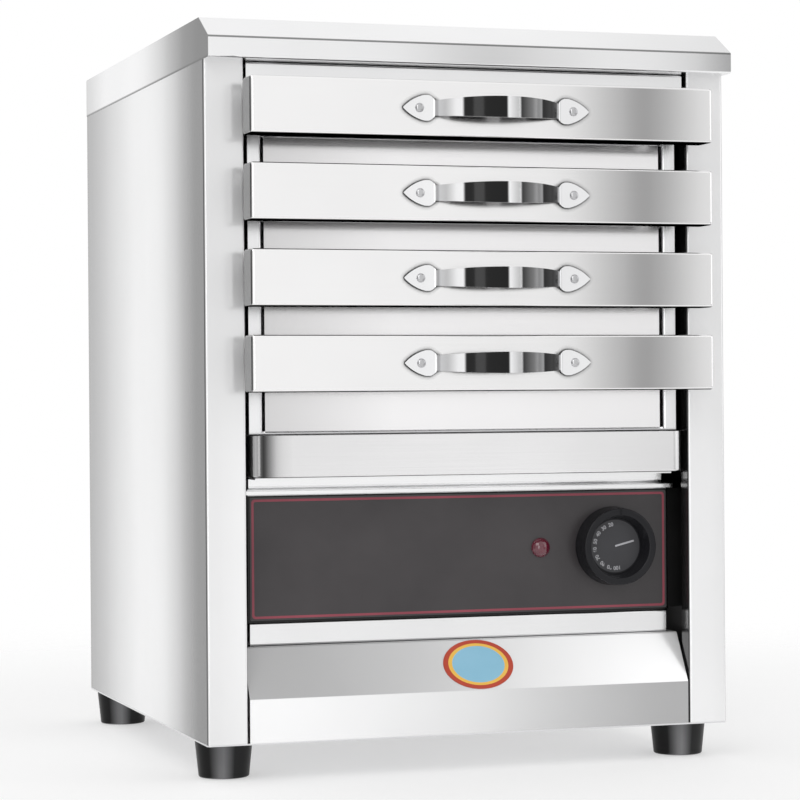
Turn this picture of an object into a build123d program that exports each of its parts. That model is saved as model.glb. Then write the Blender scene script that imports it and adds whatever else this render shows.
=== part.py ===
from build123d import *
import os

# Tabletop rice roll steamer: four sliding steam trays over a heated water tank,
# in a folded stainless cabinet on four feet.
# Millimetres. X is right, Y is back, Z is up. While a piece is built, Y = 0 is the front
# face of the corner posts and Z = 0 is the floor. At the end every piece is moved along Y
# so that the origin lies at the bottom centre of the whole machine.

# ---- cabinet ----
body_width = 438
body_depth = 450
shell_sheet = 1.2
bend_radius = 2.2
seam_gap = 0.2
post_width = 32.5
post_return = 15
rear_flange = 18
top_flange = 12
flange_end_gap = 22
base_flange = 16
base_sheet = 1.2
overshoot = 2

# ---- feet ----
foot_height = 29
foot_top_radius = 23
foot_bottom_radius = 20
foot_edge = 1.5
foot_side_inset = 24
foot_front_inset = 45
foot_rear_inset = 28
foot_pocket_radius = 8
foot_pocket_depth = 14
foot_screw_radius = 3
foot_screw_head_radius = 5.2
foot_screw_head = 4
foot_screw_round = 1.3
foot_nut_radius = 5.5
foot_nut_height = 5
screw_clearance = 0.3

# ---- cover ----
cover_height = 34
cover_fascia = 16.5
cover_overhang = 17.5
cover_bevel_run = 30
cover_lip = 27
cover_return = 12

# ---- front, from the base up ----
lip_height = 35
slope_height = 39
slope_run = 23
apron_flange = 25
panel_recess = 27
lower_rail_height = 18
lower_rail_depth = 25
panel_height = 101
panel_depth = 42
panel_round = 1.1
overlay_thick = 0.8
overlay_edge = 1.0
shelf_lip = 4.5
shelf_height = 9
shelf_front = 12
shelf_web = 33
shelf_rear = 62
drip_height = 33
drip_gap = 0.3
rim_gap = 1.2
crossbar_height = 34.5
divider_height = 28
tray_floor_gap = 2
header_height = 18.5

# ---- front, from the middle out ----
frame_recess = 12
divider_setback = 2
post_gap = 5.5
strip_width = 11
divider_end_gap = 2.5
divider_flange = 18
divider_bend = 1.1
header_recess = 3
header_gap = 2.5
panel_gap = 7
shelf_gap = 2
shelf_inset = 10
lower_rail_inset = 9
apron_gap = 1.5
drip_side_gap = 3
drip_depth = 38
drip_corner = 10
drip_sheet = 1.0
drip_bottom_round = 2
bracket_leg = 26
bracket_setback = 14

# ---- steam chamber and water tank ----
chamber_sheet = 1.0
chamber_rear_gap = 57
chamber_top_gap = 5
ceiling_rise = 12
ceiling_bend = 6.6
tank_wall = 1.0
tank_front_gap = 75
tank_side_gap = 10
tank_rear_gap = 20
tank_depth = 132
tank_corner = 20
tank_bottom_round = 10
support_leg = 22
support_flange_gap = 6

# ---- drawers ----
drawer_count = 4
tray_height = 34
tray_sheet = 1.0
tray_rim = 12
tray_hem = 6
tray_corner = 14
tray_bottom_round = 5
tray_rear_gap = 20
rail_sheet = 1.2
rail_lip = 10
rail_clearance = 0.8
rail_side_clearance = 1.5
rail_end_gap = 1
rail_bend = 1.7
face_sheet = 1.0
face_depth = 22
face_standoff = 18
face_post_overlap = 5.5
face_edge_overlap = 3
face_round = 2.5

# ---- handles ----
handle_pitch = 128
handle_tip = 13.5
handle_plate_inner = 13
handle_plate_height = 20
handle_plate_peak = 4
handle_shoulder_x = 8.5
handle_shoulder_z = 6.6
handle_heel_x = 2.5
handle_heel_z = 8.5
handle_plate_end = 10
handle_strap_end = 11.6
handle_strap_mid = 16.5
handle_strap_lap = 2
handle_reach = 26
handle_thick = 1.8
handle_offset = 7
handle_foot_round = 5
rivet_radius = 2
rivet_head_radius = 3.6
rivet_head_height = 2.2
rivet_head_round = 2
rivet_clearance = 0.1
rivet_tail = 1.5

# ---- controls ----
knob_inset = 50
knob_radius = 32.3
knob_rim_radius = 31.2
knob_rim_wall = 5.5
knob_height = 18
knob_dish_depth = 12
knob_dish_radius = 22.5
knob_floor = 2.5
knob_pocket_radius = 11
knob_gap = 0.6
knob_edge = 1.2
knob_notch = 1.6
knob_boss_radius = 6.5
shaft_radius = 3
shaft_clearance = 0.05
thermostat_size = 38
thermostat_depth = 28
thermostat_edge = 3
shaft_depth = 17
bushing_radius = 5
bushing_hole_gap = 0.2
nut_height = 2.4
nut_across = 14
lamp_pitch = 63
lamp_radius = 7.9
lamp_dome = 4.5
lamp_flange = 1.5
lamp_neck_radius = 5.5
lamp_neck_length = 22
lamp_neck_chamfer = 1
control_rise = 54
capillary_radius = 1.0
capillary_bend = 5
capillary_standoff = 10
capillary_offset = 9.5
bulb_radius = 3.2
bulb_length = 80
bulb_inset = 70
bulb_rise = 37

# ---- heater ----
element_radius = 4.25
element_rise = 26
element_bend = 20
element_terminal_x = 25
element_pitch = 50
element_side_gap = 32
element_front_gap = 35
element_rear_gap = 27
element_tail = 16
element_nut_across = 17
element_nut_height = 5

# ---- drain ----
drain_inset = 40
drain_rise = 17
pipe_radius = 7
pipe_bore = 5.5
pipe_nut_across = 24
pipe_nut_height = 6
pipe_panel_gap = 3
pipe_end = 3
valve_gap = 6
valve_length = 48
valve_hex_across = 26
valve_hex_length = 13
valve_neck_radius = 12
valve_ball_radius = 14
outlet_radius = 7.5
outlet_depth = 14
pipe_socket = 10
stem_radius = 2.5
stem_depth = 8
stem_boss_radius = 6.5
stem_boss_height = 20
lever_thick = 2.4
lever_width = 12
lever_length = 78
lever_flat = 9
lever_corner = 5.5
lever_lift = 7
lever_gap = 0.4
lever_grip_length = 46
lever_grip_wall = 1.5
lever_grip_round = 0.7
lever_nut_across = 10
lever_nut_height = 4

# ---- rear services ----
gland_inset = 69
gland_rise = 44
gland_radius = 9
gland_bore = 4
gland_length = 20
gland_dome_radius = 11
gland_dome_round = 6
gland_end = 1
gland_nut_across = 24
gland_nut_height = 5
gland_hole_gap = 0.2
block_width = 48
block_depth = 20
block_height = 16
block_ways = 3
block_edge = 1.5
block_well_radius = 4
block_wire_radius = 2.6
block_wire_rise = 5.4
block_setback = 70
vent_count = 9
vent_pitch = 14
vent_length = 46
vent_width = 4
vent_rise = 60
rear_screw_radius = 2
rear_screw_head_radius = 3.6
rear_screw_head = 1.8
rear_screw_round = 1.2
rear_screw_end = 2.4
rear_screw_rows = 3
rear_screw_margin = 40

# ---- badge ----
badge_x = 7
badge_width = 59
badge_height = 43
badge_thick = 0.5

# ---- places worked out from the sizes ----
half_width = body_width / 2
post_inner = half_width - post_width
floor_z = foot_height
lip_z = floor_z + lip_height
slope_z = lip_z + slope_height
panel_z = slope_z + lower_rail_height
panel_top_z = panel_z + panel_height
lip_top_z = panel_top_z + shelf_lip
shelf_z = lip_top_z + shelf_height
drip_z = shelf_z + drip_gap
rim_z = drip_z + drip_height + rim_gap
chamber_z = rim_z + tank_wall
opening_height = tray_height + tray_floor_gap + rail_clearance + rail_sheet
drawer_pitch = opening_height + divider_height
opening_z = chamber_z + crossbar_height
opening_top_z = opening_z + drawer_count * opening_height + (drawer_count - 1) * divider_height
top_z = opening_top_z + header_height

strip_outer = post_inner - post_gap
chamber_half = strip_outer - strip_width
chamber_rear = body_depth - chamber_rear_gap
chamber_top_z = top_z - chamber_top_gap
tank_rear = chamber_rear - tank_rear_gap
tank_half = chamber_half - tank_side_gap
tank_floor_z = chamber_z - tank_depth
panel_half = post_inner - panel_gap
apron_half = post_inner - apron_gap
rear_panel_y = body_depth - shell_sheet
control_z = panel_z + control_rise
knob_x = panel_half - knob_inset
lamp_x = knob_x - lamp_pitch
bulb_x = tank_half - bulb_inset
bulb_z = tank_floor_z + bulb_rise
element_reach = tank_half - element_side_gap
drain_x = -tank_half + drain_inset
gland_x = half_width - gland_inset

face_y = -face_standoff - face_depth
face_half = post_inner + face_post_overlap
face_height = opening_height + 2 * face_edge_overlap
rim_half = chamber_half - rail_sheet - rail_side_clearance
pan_half = rim_half - tray_rim
tray_front = face_y + face_sheet
tray_rear = chamber_rear - tray_rear_gap

drain_z = tank_floor_z + drain_rise
valve_front = body_depth + valve_gap
valve_centre = valve_front + valve_length / 2
valve_rear = valve_front + valve_length

front_reach = -face_y + handle_reach
back_reach = valve_rear
origin_y = (back_reach - front_reach) / 2


def bent_sheet(points, sheet, side=Side.RIGHT, radius=bend_radius):
    """Cross-section of a folded sheet. One of its faces follows the points."""
    return make_face(offset(FilletPolyline(*points, radius=radius), amount=sheet, side=side))


def upright(face, low, high):
    """A plan section standing from one height to another."""
    return Pos(0, 0, low) * extrude(face, amount=high - low)


def across(face, half):
    """A side section, drawn as (y, z), running from -half to half along X."""
    return Pos(-half, 0, 0) * extrude(Plane.YZ * face, amount=2 * half)


def block(low, high):
    """A plain block between two corners."""
    centre = [(a + b) / 2 for a, b in zip(low, high)]
    size = [b - a for a, b in zip(low, high)]
    return Pos(*centre) * Box(*size)


def rod_y(x, z, front, back, radius):
    """A round bar along Y."""
    return Pos(x, (front + back) / 2, z) * Rot(90, 0, 0) * Cylinder(radius, back - front)


def hex_y(x, z, front, back, across_flats):
    """A hexagonal bar along Y."""
    plane = Plane(origin=(x, front, z), x_dir=(1, 0, 0), z_dir=(0, 1, 0))
    section = RegularPolygon(across_flats / 2, 6, major_radius=False)
    return extrude(plane * section, amount=back - front)


def group(parts):
    """Loose pieces of one kind kept in one node, as separate solids."""
    return Compound([solid for part in parts for solid in part.solids()])


def both_sides(part):
    """A piece and its mirror image across the middle."""
    return group([part, mirror(part, about=Plane.YZ)])


# ---- cabinet shell ----
def side_panel():
    """Left side, its front post with a return, and its flanges at the back and the top."""
    section = bent_sheet(
        [
            (-post_inner, post_return),
            (-post_inner, 0),
            (-half_width, 0),
            (-half_width, body_depth),
            (-half_width + rear_flange, body_depth),
        ],
        shell_sheet,
    )
    flange = block(
        (-half_width, flange_end_gap, top_z - shell_sheet),
        (-half_width + top_flange, body_depth - flange_end_gap, top_z),
    )
    return upright(section, floor_z + base_sheet, top_z) + flange


def base_plate():
    """Bottom plate with four upturned flanges and four weld nuts over the feet."""
    inner = half_width - shell_sheet
    top = floor_z + base_sheet + base_flange
    rear = rear_panel_y - shell_sheet
    section = RectangleRounded(body_width, body_depth, bend_radius)
    plate = Pos(0, body_depth / 2, floor_z) * extrude(section, amount=base_sheet)
    side = block(
        (inner - base_sheet, flange_end_gap, floor_z),
        (inner, body_depth - flange_end_gap, top),
    )
    front = block(
        (-apron_half, shell_sheet, floor_z),
        (apron_half, shell_sheet + base_sheet, top),
    )
    back = block(
        (-post_inner, rear - base_sheet, floor_z),
        (post_inner, rear, top),
    )
    part = plate + side + mirror(side, about=Plane.YZ) + front + back
    nut = extrude(RegularPolygon(foot_nut_radius, 6), amount=base_sheet + foot_nut_height)
    for x, y in foot_places():
        part += Pos(x, y, floor_z) * nut
        part -= Pos(x, y, floor_z) * Cylinder(
            foot_screw_radius + shaft_clearance, 2 * (base_sheet + foot_nut_height + overshoot)
        )
    return part


def rear_panel():
    """Rear sheet inside the side flanges, with vents and the holes for drain and cable."""
    half = half_width - shell_sheet - bend_radius
    low = floor_z + base_sheet + seam_gap
    part = block(
        (-half, rear_panel_y - shell_sheet, low),
        (half, rear_panel_y, top_z - shell_sheet - seam_gap),
    )
    front = rear_panel_y - shell_sheet - overshoot
    part -= rod_y(drain_x, drain_z, front, body_depth, pipe_radius + pipe_panel_gap)
    gland_z = floor_z + gland_rise
    part -= rod_y(gland_x, gland_z, front, body_depth, gland_radius + gland_hole_gap)
    slot = Rot(90, 0, 0) * extrude(
        SlotOverall(vent_length, vent_width, rotation=90), amount=shell_sheet + overshoot, both=True
    )
    for i in range(vent_count):
        x = (i - (vent_count - 1) / 2) * vent_pitch
        part -= Pos(x, rear_panel_y, floor_z + vent_rise) * slot
    for x, z in rear_screw_places():
        part -= rod_y(x, z, front, body_depth, rear_screw_radius + screw_clearance)
    return part


def rear_screw_places():
    """Screws that hold the rear sheet to the side flanges."""
    low = floor_z + rear_screw_margin
    step = (top_z - rear_screw_margin - low) / (rear_screw_rows - 1)
    x = half_width - rear_flange / 2 - shell_sheet
    return [(side * x, low + i * step) for side in (-1, 1) for i in range(rear_screw_rows)]


def rear_screws():
    """Pan head screws through the side flanges into the rear sheet."""
    screws = []
    for x, z in rear_screw_places():
        front = rear_panel_y - shell_sheet - rear_screw_end
        shank = rod_y(x, z, front, body_depth, rear_screw_radius)
        head = rod_y(x, z, body_depth, body_depth + rear_screw_head, rear_screw_head_radius)
        screws.append(shank + fillet(head.edges().sort_by(Axis.Y)[-1], rear_screw_round))
    return group(screws)


def drilled_side_panel():
    """The left side with its rear flange drilled for the screws."""
    part = side_panel()
    for x, z in rear_screw_places():
        if x < 0:
            hole = rear_screw_radius + screw_clearance
            part -= rod_y(x, z, rear_panel_y - overshoot, body_depth + overshoot, hole)
    return part


def top_cover():
    """Lid with a bevelled front that overhangs the posts, skirts and inturned edges."""
    high = top_z + cover_height
    outline = [
        (-cover_overhang, top_z),
        (-cover_overhang, top_z + cover_fascia),
        (-cover_overhang + cover_bevel_run, high),
        (body_depth, high),
        (body_depth, top_z),
    ]
    section = [(-cover_overhang + cover_lip, top_z)] + outline + [(body_depth - cover_return, top_z)]
    sheet = across(bent_sheet(section, shell_sheet), half_width)
    cheek = Pos(-half_width, 0, 0) * extrude(
        Plane.YZ * make_face(FilletPolyline(*outline, radius=bend_radius, close=True)),
        amount=shell_sheet,
    )
    foot = block(
        (-half_width, bend_radius, top_z),
        (-half_width + cover_return, body_depth - bend_radius, top_z + shell_sheet),
    )
    side = cheek + foot
    return sheet + side + mirror(side, about=Plane.YZ)


# ---- feet ----
def foot_places():
    """Centres of the four feet in plan."""
    x = half_width - foot_side_inset
    rear = body_depth - foot_rear_inset
    return [(side * x, y) for side in (-1, 1) for y in (foot_front_inset, rear)]


def rubber_foot():
    """Tapered foot with a pocket for its screw."""
    section = Polygon(
        (0, 0),
        (foot_bottom_radius, 0),
        (foot_top_radius, foot_height),
        (0, foot_height),
        align=None,
    )
    edges = section.vertices().group_by(Axis.X)[1:]
    section = fillet(ShapeList(v for g in edges for v in g), foot_edge)
    part = revolve(Plane.XZ * section, Axis.Z)
    part -= Cylinder(foot_pocket_radius, 2 * foot_pocket_depth)
    return part - Cylinder(foot_screw_radius + screw_clearance, 2 * (foot_height + overshoot))


def foot_screw():
    """Pan head screw up through the foot and the base plate."""
    head_z = foot_pocket_depth - foot_screw_head
    head = Pos(0, 0, head_z + foot_screw_head / 2) * Cylinder(
        foot_screw_head_radius, foot_screw_head
    )
    head = fillet(head.edges().sort_by(Axis.Z)[0], foot_screw_round)
    top = foot_height + base_sheet + foot_nut_height
    shank = Pos(0, 0, (head_z + top) / 2) * Cylinder(foot_screw_radius, top - head_z)
    return head + shank


# ---- front below the chamber ----
def lower_apron():
    """Front plate: an upright lip, then a face that leans back up to the lower rail."""
    section = bent_sheet(
        [
            (slope_run + apron_flange, slope_z),
            (slope_run, slope_z),
            (0, lip_z),
            (0, floor_z + base_sheet),
        ],
        shell_sheet,
        Side.LEFT,
    )
    return across(section, apron_half)


def lower_rail():
    """Channel between the apron and the control panel."""
    section = bent_sheet(
        [
            (panel_recess + lower_rail_depth, panel_z),
            (panel_recess, panel_z),
            (panel_recess, slope_z),
            (panel_recess + lower_rail_depth, slope_z),
        ],
        shell_sheet,
        Side.LEFT,
    )
    return across(section, post_inner - lower_rail_inset)


def folded_box(half, front, depth, low, high, sheet, radius):
    """A shallow box folded from sheet, closed at the front and open at the back."""
    solid = block((-half, front, low), (half, front + depth, high))
    back = solid.faces().sort_by(Axis.Y)[-1]
    solid = fillet(ShapeList(e for e in solid.edges() if e not in back.edges()), radius)
    return offset(solid, amount=-sheet, openings=solid.faces().sort_by(Axis.Y)[-1])


def control_panel():
    """Steel control box front with holes for the lamp and the thermostat."""
    part = folded_box(
        panel_half, panel_recess, panel_depth, panel_z, panel_top_z, shell_sheet, panel_round
    )
    return part - control_holes()


def control_holes():
    """Round holes of the lamp neck and the thermostat bushing."""
    front = overlay_front() - overshoot
    back = panel_recess + shell_sheet + overshoot
    lamp = rod_y(lamp_x, control_z, front, back, lamp_neck_radius + bushing_hole_gap)
    return lamp + rod_y(knob_x, control_z, front, back, bushing_radius + bushing_hole_gap)


def panel_overlay():
    """Dark facing sheet on the control panel."""
    edge = panel_round + overlay_edge
    section = Pos(0, (panel_z + panel_top_z) / 2) * RectangleRounded(
        2 * (panel_half - edge), panel_height - 2 * edge, panel_round
    )
    sheet = extrude(Plane(origin=(0, panel_recess, 0), x_dir=(1, 0, 0), z_dir=(0, -1, 0)) * section,
                    amount=overlay_thick)
    return sheet - control_holes()


def control_bracket():
    """Channel from the right end of the control panel to the side panel."""
    inner = panel_half
    outer = half_width - shell_sheet
    front = panel_recess + bracket_setback
    section = bent_sheet(
        [
            (inner, front + bracket_leg),
            (inner, front),
            (outer, front),
            (outer, front + bracket_leg),
        ],
        shell_sheet,
        Side.LEFT,
    )
    return upright(section, panel_z + shell_sheet, panel_top_z - shell_sheet)


def drip_shelf():
    """Shelf on the control panel: a wide lip, a narrower riser and the plate the trough rests on."""
    half = post_inner - shelf_gap
    lip = bent_sheet(
        [
            (panel_recess, panel_top_z),
            (panel_recess, lip_top_z),
            (shelf_web, lip_top_z),
            (shelf_web, shelf_z),
        ],
        shell_sheet,
    )
    lip = across(lip, half)
    notch = block(
        (post_inner - shelf_inset, shelf_web - overshoot, lip_top_z),
        (half + overshoot, shelf_web + 2 * bend_radius, shelf_z + overshoot),
    )
    plate = bent_sheet(
        [
            (shelf_front, shelf_z),
            (shelf_rear, shelf_z),
            (shelf_rear, panel_top_z),
        ],
        shell_sheet,
    )
    plate = across(plate, post_inner - shelf_inset)
    return lip - notch - mirror(notch, about=Plane.YZ) + plate


def drip_tray():
    """Loose trough under the drawer openings, with bent front corners."""
    half = post_inner - drip_side_gap
    solid = block((-half, 0, drip_z), (half, drip_depth, drip_z + drip_height))
    uprights = solid.edges().filter_by(Axis.Z).sort_by(Axis.Y)[:2]
    solid = fillet(uprights, drip_corner)
    floor = solid.faces().sort_by(Axis.Z)[0]
    solid = fillet(floor.edges(), drip_bottom_round)
    return offset(solid, amount=-drip_sheet, openings=solid.faces().sort_by(Axis.Z)[-1])


# ---- chamber front frame ----
def channel_bar(low, high):
    """Channel across the chamber front. Its face stops short of the chamber walls."""
    face = frame_recess + divider_setback
    section = bent_sheet(
        [
            (face + divider_flange, high),
            (face, high),
            (face, low),
            (face + divider_flange, low),
        ],
        chamber_sheet,
        Side.LEFT,
        divider_bend,
    )
    bar = across(section, chamber_half)
    notch = block(
        (chamber_half - divider_end_gap, face - overshoot, low - overshoot),
        (chamber_half + overshoot, face + divider_bend + chamber_sheet, high + overshoot),
    )
    return bar - notch - mirror(notch, about=Plane.YZ)


def divider(index):
    """Bar between one drawer opening and the next, counted from the top."""
    high = opening_top_z - index * drawer_pitch + divider_height
    return channel_bar(high - divider_height, high)


def header():
    """Channel above the top drawer, just behind the post plane."""
    section = bent_sheet(
        [
            (frame_recess, opening_top_z),
            (header_recess, opening_top_z),
            (header_recess, top_z - seam_gap),
            (frame_recess - seam_gap, top_z - seam_gap),
        ],
        shell_sheet,
        Side.RIGHT,
    )
    return across(section, post_inner - header_gap)


# ---- steam chamber ----
def chamber_wall():
    """Left chamber wall with a front strip and a rear flange."""
    section = bent_sheet(
        [
            (-strip_outer, frame_recess),
            (-chamber_half, frame_recess),
            (-chamber_half, chamber_rear),
            (-strip_outer, chamber_rear),
        ],
        chamber_sheet,
        Side.LEFT,
    )
    return upright(section, chamber_z, chamber_top_z)


def chamber_rear_wall():
    """Flat sheet that closes the chamber at the back."""
    return block(
        (-strip_outer, chamber_rear, chamber_z),
        (strip_outer, chamber_rear + chamber_sheet, chamber_top_z),
    )


def chamber_ceiling():
    """Pitched ceiling, so that condensate runs to the walls."""
    low = chamber_top_z
    section = bent_sheet(
        [
            (-strip_outer, low),
            (-chamber_half, low),
            (0, low + ceiling_rise),
            (chamber_half, low),
            (strip_outer, low),
        ],
        chamber_sheet,
        Side.LEFT,
        ceiling_bend,
    )
    roof = extrude(Plane.XZ * section, amount=-(chamber_rear - frame_recess))
    return Pos(0, frame_recess, 0) * roof


def tray_rail(index):
    """Channel on the left chamber wall that guides one tray rim, counted from the top."""
    rim_top = opening_top_z - (index - 1) * drawer_pitch - rail_sheet - rail_clearance
    high = rim_top + rail_clearance + rail_sheet
    low = rim_top - tray_hem - rail_clearance - rail_sheet
    section = bent_sheet(
        [
            (-chamber_half + rail_lip + rail_sheet, high),
            (-chamber_half, high),
            (-chamber_half, low),
            (-chamber_half + rail_lip + rail_sheet, low),
        ],
        rail_sheet,
        Side.LEFT,
        rail_bend,
    )
    front = frame_recess + chamber_sheet
    rail = extrude(Plane.XZ * section, amount=-(chamber_rear - rail_end_gap - front))
    return Pos(0, front, 0) * rail


# ---- water tank ----
def water_tank():
    """Deep pan under the chamber. Its rim carries the chamber walls."""
    middle = (tank_front_gap + tank_rear) / 2
    length = tank_rear - tank_front_gap
    well = Pos(0, middle, tank_floor_z) * extrude(
        RectangleRounded(2 * tank_half, length, tank_corner), amount=tank_depth
    )
    well = fillet(well.faces().sort_by(Axis.Z)[0].edges(), tank_bottom_round)
    pan = offset(well, amount=-tank_wall, openings=well.faces().sort_by(Axis.Z)[-1])
    rim = block(
        (-strip_outer, frame_recess, rim_z),
        (strip_outer, chamber_rear + chamber_sheet, chamber_z),
    )
    part = pan + (rim - well)
    for x in (-element_terminal_x, element_terminal_x):
        part -= tank_hole(x, tank_floor_z + element_rise, tank_front_gap, element_radius)
    part -= tank_hole(bulb_x, bulb_z, tank_front_gap, capillary_radius)
    part -= tank_hole(drain_x, drain_z, tank_rear, pipe_radius)
    return part


def tank_hole(x, z, y, radius):
    """Cutter for a round pass-through in the tank's front or rear wall."""
    reach = tank_wall + overshoot
    return rod_y(x, z, y - reach, y + reach, radius + bushing_hole_gap)


def tank_support():
    """Right-hand ledge on the side panel that carries the tank rim."""
    outer = half_width - shell_sheet
    section = bent_sheet(
        [
            (tank_half + support_flange_gap, rim_z),
            (outer, rim_z),
            (outer, rim_z - support_leg),
        ],
        shell_sheet,
    )
    front = drip_depth + support_flange_gap
    ledge = extrude(Plane.XZ * section, amount=-(chamber_rear - front))
    return Pos(0, front, 0) * ledge


# ---- heater ----
def heating_element():
    """Sheathed element bent into two hairpins joined around the tank."""
    front = tank_front_gap + element_front_gap
    back = tank_rear - element_rear_gap
    inner_back = back - 2 * element_bend
    z = tank_floor_z + element_rise
    half = [
        (element_terminal_x, tank_front_gap - element_tail, z),
        (element_terminal_x, inner_back, z),
        (element_terminal_x + element_pitch, inner_back, z),
        (element_terminal_x + element_pitch, front, z),
        (element_reach, front, z),
        (element_reach, back, z),
    ]
    path = FilletPolyline(*half, *[(-x, y, z) for x, y, z in reversed(half)], radius=element_bend)
    start = Plane(origin=half[0], x_dir=(1, 0, 0), z_dir=(0, 1, 0))
    return sweep(start * Circle(element_radius), path=path)


def element_nuts():
    """Two nuts that clamp the element to the tank's front wall."""
    z = tank_floor_z + element_rise
    front = tank_front_gap - element_nut_height
    nuts = []
    for x in (-element_terminal_x, element_terminal_x):
        nut = hex_y(x, z, front, tank_front_gap, element_nut_across)
        bore = element_radius + shaft_clearance
        nuts.append(nut - rod_y(x, z, front - overshoot, tank_front_gap + overshoot, bore))
    return group(nuts)


# ---- thermostat, knob and lamp ----
def overlay_front():
    """Y of the control panel's visible face."""
    return panel_recess - overlay_thick


def thermostat_body():
    """Switch body behind the panel with a threaded bushing through it."""
    back_of_panel = panel_recess + shell_sheet
    half = thermostat_size / 2
    case = block(
        (knob_x - half, back_of_panel, control_z - half),
        (knob_x + half, back_of_panel + thermostat_depth, control_z + half),
    )
    case = fillet(case.edges().filter_by(Axis.Y), thermostat_edge)
    front = overlay_front() - nut_height
    bushing = rod_y(knob_x, control_z, front, back_of_panel + thermostat_edge, bushing_radius)
    back = back_of_panel + shaft_depth
    bore = rod_y(knob_x, control_z, front - overshoot, back, shaft_radius + shaft_clearance)
    return case + bushing - bore


def thermostat_nut():
    """Flat nut that clamps the thermostat to the panel, under the knob."""
    front = overlay_front() - nut_height
    nut = hex_y(knob_x, control_z, front, overlay_front(), nut_across)
    bore = bushing_radius + shaft_clearance
    return nut - rod_y(knob_x, control_z, front - overshoot, panel_recess, bore)


def knob_back_y():
    """Y of the knob's back edge, just off the panel."""
    return overlay_front() - knob_gap


def thermostat_knob():
    """Dished round knob with a raised rim, a pocket for the nut and a shaft boss."""
    pocket = knob_height - knob_dish_depth - knob_floor
    inner = knob_rim_radius - knob_rim_wall
    section = Polygon(
        (0, pocket),
        (knob_pocket_radius, pocket),
        (knob_pocket_radius, 0),
        (knob_radius, 0),
        (knob_rim_radius, knob_height),
        (inner, knob_height),
        (knob_dish_radius, pocket + knob_floor),
        (0, pocket + knob_floor),
        align=None,
    )
    section = fillet(section.vertices().group_by(Axis.Y)[-1], knob_edge)
    body = revolve(Plane.XZ * section, Axis.Z)
    bore = shaft_radius + shaft_clearance
    boss = Pos(0, 0, pocket - boss_depth() / 2) * Cylinder(knob_boss_radius, boss_depth())
    notch = Pos(0, knob_rim_radius - knob_rim_wall / 2, knob_height) * Box(
        knob_notch, 2 * knob_rim_wall, knob_notch
    )
    part = body + boss - notch - Cylinder(bore, 2 * pocket)
    return Pos(knob_x, knob_back_y(), control_z) * Rot(90, 0, 0) * part


def boss_depth():
    """How far the knob's boss reaches back before it would meet the bushing."""
    pocket = knob_height - knob_dish_depth - knob_floor
    return pocket - (nut_height - knob_gap) - knob_gap / 2


def thermostat_shaft():
    """Steel spindle from the knob into the thermostat."""
    pocket = knob_height - knob_dish_depth - knob_floor
    front = knob_back_y() - pocket
    back = panel_recess + shell_sheet + shaft_depth - knob_gap
    return rod_y(knob_x, control_z, front, back, shaft_radius)


def thermostat_bulb():
    """Capillary tube from the thermostat to its sensing bulb in the tank."""
    start_y = panel_recess + shell_sheet + thermostat_depth
    bend_y = tank_front_gap - capillary_standoff
    bulb_y = tank_front_gap + capillary_standoff
    start_x = knob_x - capillary_offset
    path = FilletPolyline(
        (start_x, start_y, control_z),
        (start_x, bend_y, control_z),
        (bulb_x, bend_y, bulb_z),
        (bulb_x, bulb_y, bulb_z),
        radius=capillary_bend,
    )
    start = Plane(origin=(start_x, start_y, control_z), x_dir=(1, 0, 0), z_dir=(0, 1, 0))
    tube = sweep(start * Circle(capillary_radius), path=path)
    bulb = rod_y(bulb_x, bulb_z, bulb_y - capillary_radius, bulb_y + bulb_length, bulb_radius)
    return tube + fillet(bulb.edges(), bulb_radius / 2)


def lamp_lens():
    """Domed lens of the indicator lamp: a flange under a slice of a ball."""
    ball = (lamp_radius**2 + lamp_dome**2) / (2 * lamp_dome)
    dome = Pos(0, 0, lamp_flange + lamp_dome - ball) * Sphere(ball)
    column = Pos(0, 0, (lamp_flange + lamp_dome) / 2) * Cylinder(
        lamp_radius, lamp_flange + lamp_dome
    )
    lens = dome & column
    return Pos(lamp_x, overlay_front(), control_z) * Rot(90, 0, 0) * lens


def lamp_body():
    """Threaded neck of the lamp behind its lens."""
    back = overlay_front() + lamp_neck_length
    neck = rod_y(lamp_x, control_z, overlay_front(), back, lamp_neck_radius)
    return chamfer(neck.edges().sort_by(Axis.Y)[-1], lamp_neck_chamfer)


# ---- drain ----
def drain_pipe():
    """Pipe from the tank's rear wall to the valve, with a hexagon on the wall."""
    back = valve_front + pipe_socket
    front = tank_rear - tank_wall - pipe_end
    pipe = rod_y(drain_x, drain_z, front, back, pipe_radius)
    nut = hex_y(drain_x, drain_z, tank_rear, tank_rear + pipe_nut_height, pipe_nut_across)
    return pipe + nut - rod_y(drain_x, drain_z, front - overshoot, back + overshoot, pipe_bore)


def drain_valve():
    """Ball valve body with hexagonal ends, a round middle and a boss for the stem."""
    inner = valve_front + valve_hex_length
    outer = valve_rear - valve_hex_length
    part = hex_y(drain_x, drain_z, valve_front, inner, valve_hex_across)
    part += hex_y(drain_x, drain_z, outer, valve_rear, valve_hex_across)
    part += rod_y(drain_x, drain_z, inner - overshoot, outer + overshoot, valve_neck_radius)
    part += Pos(drain_x, valve_centre, drain_z) * Sphere(valve_ball_radius)
    boss_top = drain_z + stem_boss_height
    part += Pos(drain_x, valve_centre, drain_z + stem_boss_height / 2) * Cylinder(
        stem_boss_radius, stem_boss_height
    )
    part -= Pos(drain_x, valve_centre, boss_top) * Cylinder(
        stem_radius + shaft_clearance, 2 * stem_depth
    )
    socket = valve_front + pipe_socket
    part -= rod_y(drain_x, drain_z, valve_front - overshoot, socket, pipe_radius + shaft_clearance)
    mouth = valve_rear - outlet_depth
    return part - rod_y(drain_x, drain_z, mouth, valve_rear + overshoot, outlet_radius)


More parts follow.
